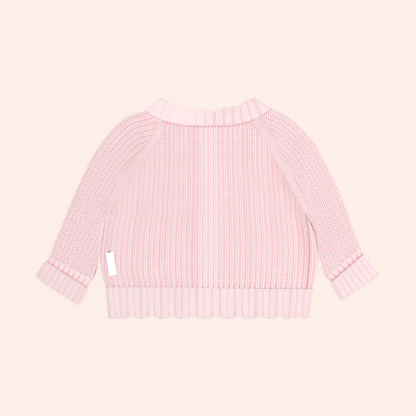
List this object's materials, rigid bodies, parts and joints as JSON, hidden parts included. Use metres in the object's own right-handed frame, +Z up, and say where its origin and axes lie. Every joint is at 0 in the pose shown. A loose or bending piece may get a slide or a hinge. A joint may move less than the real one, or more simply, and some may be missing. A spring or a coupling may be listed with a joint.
{
  "type": "knit sweater",
  "caption": "Infant's raglan sweater in thick pink cotton knit with scalloped rib bands and turned-up cuffs, laid flat with its back up.",
  "frame": {"origin": "centre of the sweater's box, on the surface that it lies on", "axes": "+X to the right of the back as it is seen, from cuff to cuff; +Y from the hem to the neck; +Z up, out of the back"},
  "size_m": [0.466, 0.2984, 0.0114],
  "materials": {
    "body_knit": "matt cotton knit in wide ribs of V stitches, pale pink",
    "rib_knit": "matt cotton rib, smoother and a little paler than the body",
    "label_tape": "white woven satin tape, bare"
  },
  "bodies": {
    "root": {"back": "body_knit", "front": "body_knit", "sleeve_left": "body_knit", "sleeve_right": "body_knit", "neckband": "rib_knit", "back_hem_band": "rib_knit", "front_hem_band": "rib_knit", "cuff_left": "rib_knit", "cuff_right": "rib_knit", "label": "label_tape"}
  },
  "joints": []
}
